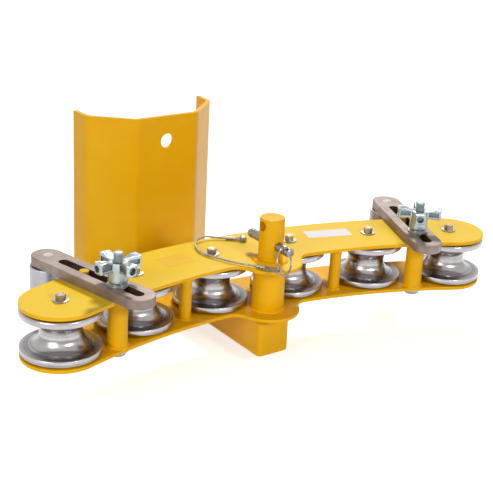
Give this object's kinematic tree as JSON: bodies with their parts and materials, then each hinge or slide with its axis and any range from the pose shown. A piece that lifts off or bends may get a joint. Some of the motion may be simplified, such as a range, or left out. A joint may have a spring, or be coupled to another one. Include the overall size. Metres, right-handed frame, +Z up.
{
  "type": "corner pulling block",
  "caption": "Curved multi-sheave cable block with sliding keeper rollers, swivelling on a pinned post held by an arm from a bent pole saddle.",
  "frame": {"origin": "centre of the saddle's bolt hole, on the face that meets the pole", "axes": "+Z up along the swivel post, +Y towards the pole along the bolt hole, +X along the block"},
  "size_m": [0.6998, 0.4427, 0.2794],
  "materials": {
    "yellow_paint": "glossy powder coat",
    "polished_aluminium": "turned and polished",
    "raw_steel": "bare mill finish",
    "zinc_plate": "bright zinc plate",
    "bright_steel": "ground",
    "bronze": "sintered bronze",
    "wire_rope": "stranded wire",
    "crimp_metal": "crimped"
  },
  "bodies": {
    "base": {"pole_saddle": "yellow_paint", "support_arm": "yellow_paint", "arm_end_cap": "yellow_paint", "swivel_post": "yellow_paint", "thrust_washer": "bright_steel"},
    "pin": {"detent_pin": "bright_steel"},
    "ring": {"pull_ring": "bright_steel"},
    "frame": {"top_plate": "yellow_paint", "bottom_plate": "yellow_paint", "pivot_sleeve": "yellow_paint", "axle_bolts": "zinc_plate", "axle_nuts": "zinc_plate", "axle_washers": "zinc_plate", "stud_washers": "zinc_plate", "lanyard": "wire_rope", "lanyard_ferrules": "crimp_metal", "lanyard_anchor": "zinc_plate", "spacer_left": "yellow_paint", "spacer_right": "yellow_paint", "keeper_post_left": "yellow_paint", "keeper_post_right": "yellow_paint", "guide_pin_left": "yellow_paint", "guide_pin_right": "yellow_paint", "keeper_stud_left": "zinc_plate", "keeper_stud_right": "zinc_plate", "axle_sleeve_1": "bright_steel", "axle_sleeve_2": "bright_steel", "axle_sleeve_3": "bright_steel", "axle_sleeve_4": "bright_steel", "axle_sleeve_5": "bright_steel", "axle_sleeve_6": "bright_steel"},
    "sheave_body_1": {"sheave_1": "polished_aluminium", "sheave_bush_1": "bronze"},
    "sheave_body_2": {"sheave_2": "polished_aluminium", "sheave_bush_2": "bronze"},
    "sheave_body_3": {"sheave_3": "polished_aluminium", "sheave_bush_3": "bronze"},
    "sheave_body_4": {"sheave_4": "polished_aluminium", "sheave_bush_4": "bronze"},
    "sheave_body_5": {"sheave_5": "polished_aluminium", "sheave_bush_5": "bronze"},
    "sheave_body_6": {"sheave_6": "polished_aluminium", "sheave_bush_6": "bronze"},
    "keeper_left": {"keeper_bar_left": "raw_steel", "roller_pin_left": "raw_steel", "roller_clip_left": "zinc_plate"},
    "roller_left": {"keeper_roller_left": "polished_aluminium"},
    "knob_seat_left": {"knob_washer_left": "zinc_plate"},
    "knob_left": {"star_knob_left": "zinc_plate"},
    "keeper_right": {"keeper_bar_right": "raw_steel", "roller_pin_right": "raw_steel", "roller_clip_right": "zinc_plate"},
    "roller_right": {"keeper_roller_right": "polished_aluminium"},
    "knob_seat_right": {"knob_washer_right": "zinc_plate"},
    "knob_right": {"star_knob_right": "zinc_plate"}
  },
  "joints": [
    {"name": "block_swivel", "type": "hinge", "parent": "base", "child": "frame", "pos_m": [0, -0.27135, -0.1302], "axis": [0, 0, 1], "range_deg": [-35.5, 44.5]},
    {"name": "pin_pull", "type": "slide", "parent": "base", "child": "pin", "axis": [0, -1, 0], "range_m": [0, 0.07]},
    {"name": "ring_swing", "type": "hinge", "parent": "pin", "child": "ring", "pos_m": [0, -0.30985, -0.06989], "axis": [-0.5446, 0, 0.8387], "range_deg": [0, 150]},
    {"name": "sheave_spin_1", "type": "hinge", "parent": "frame", "child": "sheave_body_1", "pos_m": [-0.29972, -0.25566, -0.1302], "axis": [0, 0, 1], "continuous": true},
    {"name": "sheave_spin_2", "type": "hinge", "parent": "frame", "child": "sheave_body_2", "pos_m": [-0.18009, -0.22695, -0.1302], "axis": [0, 0, 1], "continuous": true},
    {"name": "sheave_spin_3", "type": "hinge", "parent": "frame", "child": "sheave_body_3", "pos_m": [-0.05745, -0.21729, -0.1302], "axis": [0, 0, 1], "continuous": true},
    {"name": "sheave_spin_4", "type": "hinge", "parent": "frame", "child": "sheave_body_4", "pos_m": [0.0652, -0.22695, -0.1302], "axis": [0, 0, 1], "continuous": true},
    {"name": "sheave_spin_5", "type": "hinge", "parent": "frame", "child": "sheave_body_5", "pos_m": [0.18482, -0.25566, -0.1302], "axis": [0, 0, 1], "continuous": true},
    {"name": "sheave_spin_6", "type": "hinge", "parent": "frame", "child": "sheave_body_6", "pos_m": [0.29848, -0.30274, -0.1302], "axis": [0, 0, 1], "continuous": true},
    {"name": "keeper_slide_left", "type": "slide", "parent": "frame", "child": "keeper_left", "axis": [-0.2334, 0.9724, 0], "range_m": [-0.019, 0.035]},
    {"name": "roller_spin_left", "type": "hinge", "parent": "keeper_left", "child": "roller_left", "pos_m": [-0.26265, -0.14658, -0.1302], "axis": [0, 0, 1], "continuous": true},
    {"name": "knob_rise_left", "type": "slide", "parent": "frame", "child": "knob_seat_left", "axis": [0, 0, 1], "range_m": [0, 0.0078]},
    {"name": "knob_turn_left", "type": "hinge", "parent": "knob_seat_left", "child": "knob_left", "pos_m": [-0.23206, -0.27396, -0.0809], "axis": [0, 0, 1], "range_deg": [0, 1440]},
    {"name": "keeper_slide_right", "type": "slide", "parent": "frame", "child": "keeper_right", "axis": [0.3827, 0.9239, 0], "range_m": [-0.019, 0.035]},
    {"name": "roller_spin_right", "type": "hinge", "parent": "keeper_right", "child": "roller_right", "pos_m": [0.27893, -0.1892, -0.1302], "axis": [0, 0, 1], "continuous": true},
    {"name": "knob_rise_right", "type": "slide", "parent": "frame", "child": "knob_seat_right", "axis": [0, 0, 1], "range_m": [0, 0.0078]},
    {"name": "knob_turn_right", "type": "hinge", "parent": "knob_seat_right", "child": "knob_right", "pos_m": [0.2288, -0.31023, -0.0809], "axis": [0, 0, 1], "range_deg": [0, 1440]}
  ],
  "couplings": [
    {"joint": "knob_turn_left", "follows": "knob_rise_left", "rad_per_m": 3215.8},
    {"joint": "knob_turn_right", "follows": "knob_rise_right", "rad_per_m": 3215.8}
  ]
}
